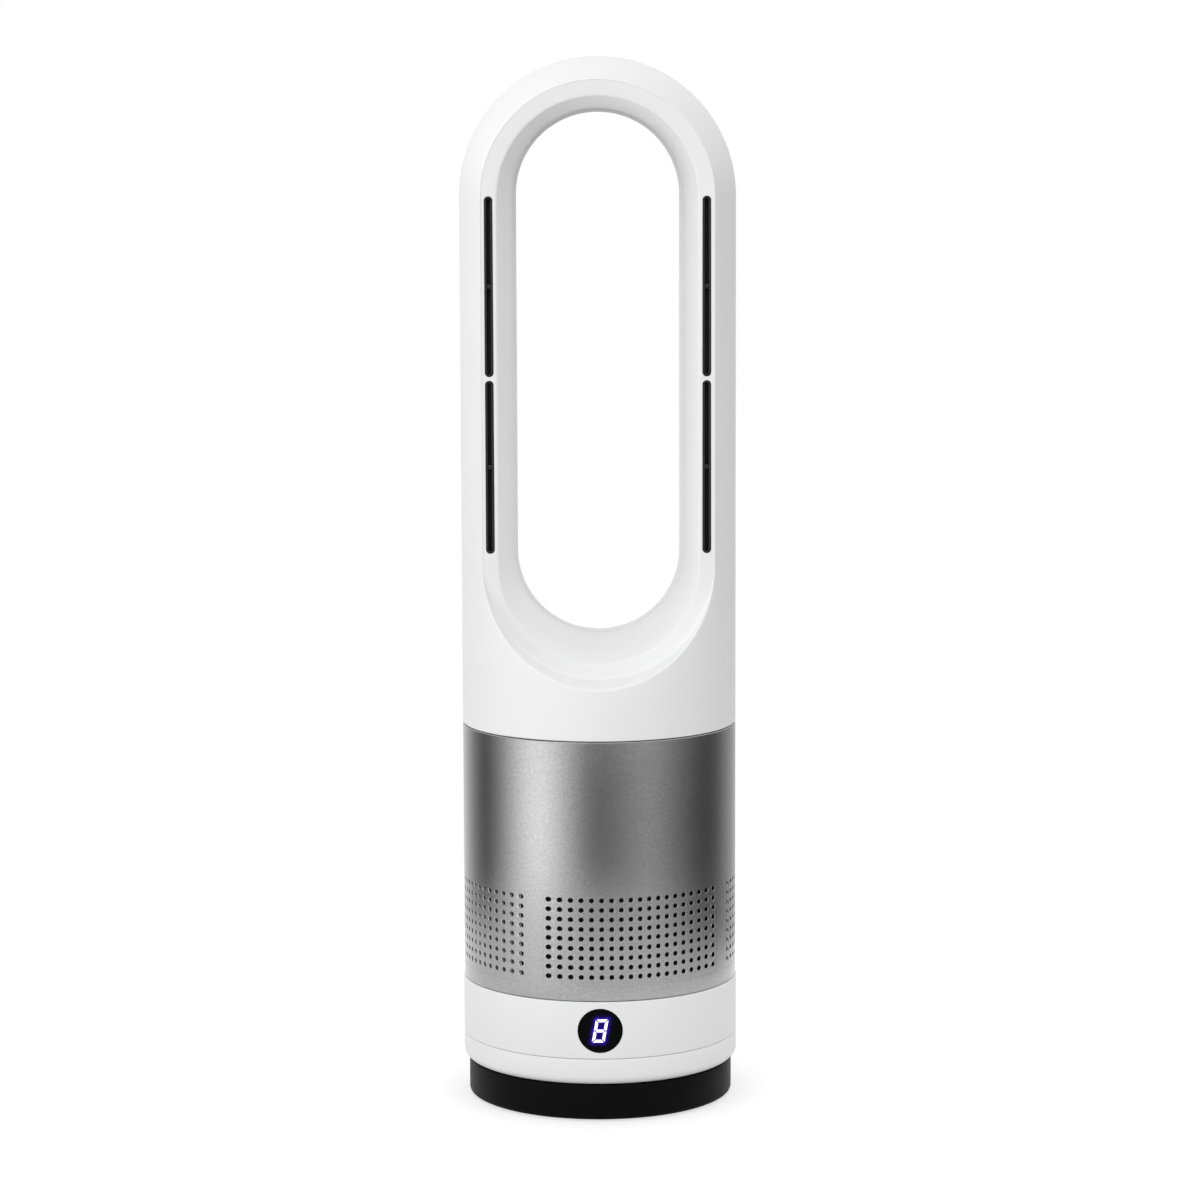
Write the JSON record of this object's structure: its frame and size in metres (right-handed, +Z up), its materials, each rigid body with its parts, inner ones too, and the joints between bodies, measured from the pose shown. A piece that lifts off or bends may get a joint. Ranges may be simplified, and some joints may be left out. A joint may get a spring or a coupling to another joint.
{
  "type": "tower fan",
  "caption": "Bladeless tower fan: a round foot, a turning body with a perforated intake sleeve and display, and a tall hollow loop with air slots.",
  "frame": {"origin": "on the floor, in the middle of the round foot", "axes": "+Z up along the tower, which is also the swing axis; the front, with the display and the air slots, faces -Y"},
  "size_m": [0.161, 0.161, 0.6084],
  "materials": {
    "white_shell": "satin white moulded ABS",
    "black_foot": "fine-grained black moulded ABS",
    "sleeve_lacquer": "metallic grey lacquer on moulded ABS",
    "nozzle_black": "black moulded nylon",
    "lens_black": "polished black acrylic",
    "digit_light": "lit frosted light guide",
    "inner_plastic": "black moulded ABS, unseen",
    "fan_plastic": "dark grey glass-filled nylon",
    "slide_plastic": "natural acetal",
    "steel": "zinc-plated steel",
    "ballast_iron": "raw cast iron",
    "motor_metal": "die-cast aluminium",
    "magnet": "bonded ferrite",
    "copper": "enamelled copper wire",
    "board_green": "solder-masked glass epoxy",
    "board_black": "moulded component bodies",
    "filter_mesh": "black open-cell filter mesh",
    "rubber": "moulded black rubber",
    "cable_pvc": "black PVC jacket",
    "contact_brass": "nickel-free brass"
  },
  "bodies": {
    "base": {"base_shell": "black_foot", "base_plate": "steel", "ballast_plate": "ballast_iron", "rubber_feet": "rubber", "base_plate_screws": "steel", "dc_jack": "board_black", "dc_jack_pin": "contact_brass", "base_lead": "cable_pvc", "glide_ring": "slide_plastic", "swing_gear": "slide_plastic", "swing_gear_screws": "steel"},
    "tower": {"turntable": "white_shell", "pivot_bush": "slide_plastic", "control_ring": "white_shell", "ring_screws": "steel", "display_lens": "lens_black", "display_digit": "digit_light", "led_module": "board_black", "display_board": "board_green", "ir_receiver": "board_black", "swing_motor": "steel", "swing_motor_screws": "steel", "control_board": "board_green", "board_parts": "board_black", "control_board_screws": "steel", "board_lead": "cable_pvc", "chassis_frame": "inner_plastic", "chassis_screws": "steel", "intake_sleeve": "sleeve_lacquer", "intake_filter": "filter_mesh", "inlet_bellmouth": "inner_plastic", "diffuser_housing": "inner_plastic", "blower_screws": "steel", "motor_can": "motor_metal", "motor_stator": "steel", "stator_windings": "copper", "motor_board": "board_green", "bearing_lower": "steel", "bearing_upper": "steel", "motor_cap": "motor_metal", "motor_cap_screws": "steel", "tail_cone": "inner_plastic", "duct_gasket": "rubber", "loop_front_shell": "white_shell", "loop_rear_shell": "white_shell", "shell_screws": "steel", "loop_screws": "steel", "nozzle_left_lower": "nozzle_black", "nozzle_left_upper": "nozzle_black", "nozzle_right_lower": "nozzle_black", "nozzle_right_upper": "nozzle_black"},
    "rotor": {"impeller": "fan_plastic", "rotor_shaft": "steel", "rotor_magnet": "magnet", "impeller_nut": "steel"},
    "pinion": {"swing_pinion": "slide_plastic", "pinion_shaft": "steel"}
  },
  "joints": [
    {"name": "body_swing", "type": "hinge", "parent": "base", "child": "tower", "pos_m": [0, 0, 0.0222], "axis": [0, 0, 1], "range_deg": [-40, 40]},
    {"name": "rotor_spin", "type": "hinge", "parent": "tower", "child": "rotor", "pos_m": [0, 0, 0.19], "axis": [0, 0, 1], "continuous": true},
    {"name": "pinion_spin", "type": "hinge", "parent": "tower", "child": "pinion", "pos_m": [0, 0.0375, 0.0277], "axis": [0, 0, 1], "range_deg": [-165, 165]}
  ],
  "couplings": [
    {"joint": "pinion_spin", "follows": "body_swing", "ratio": 4}
  ]
}
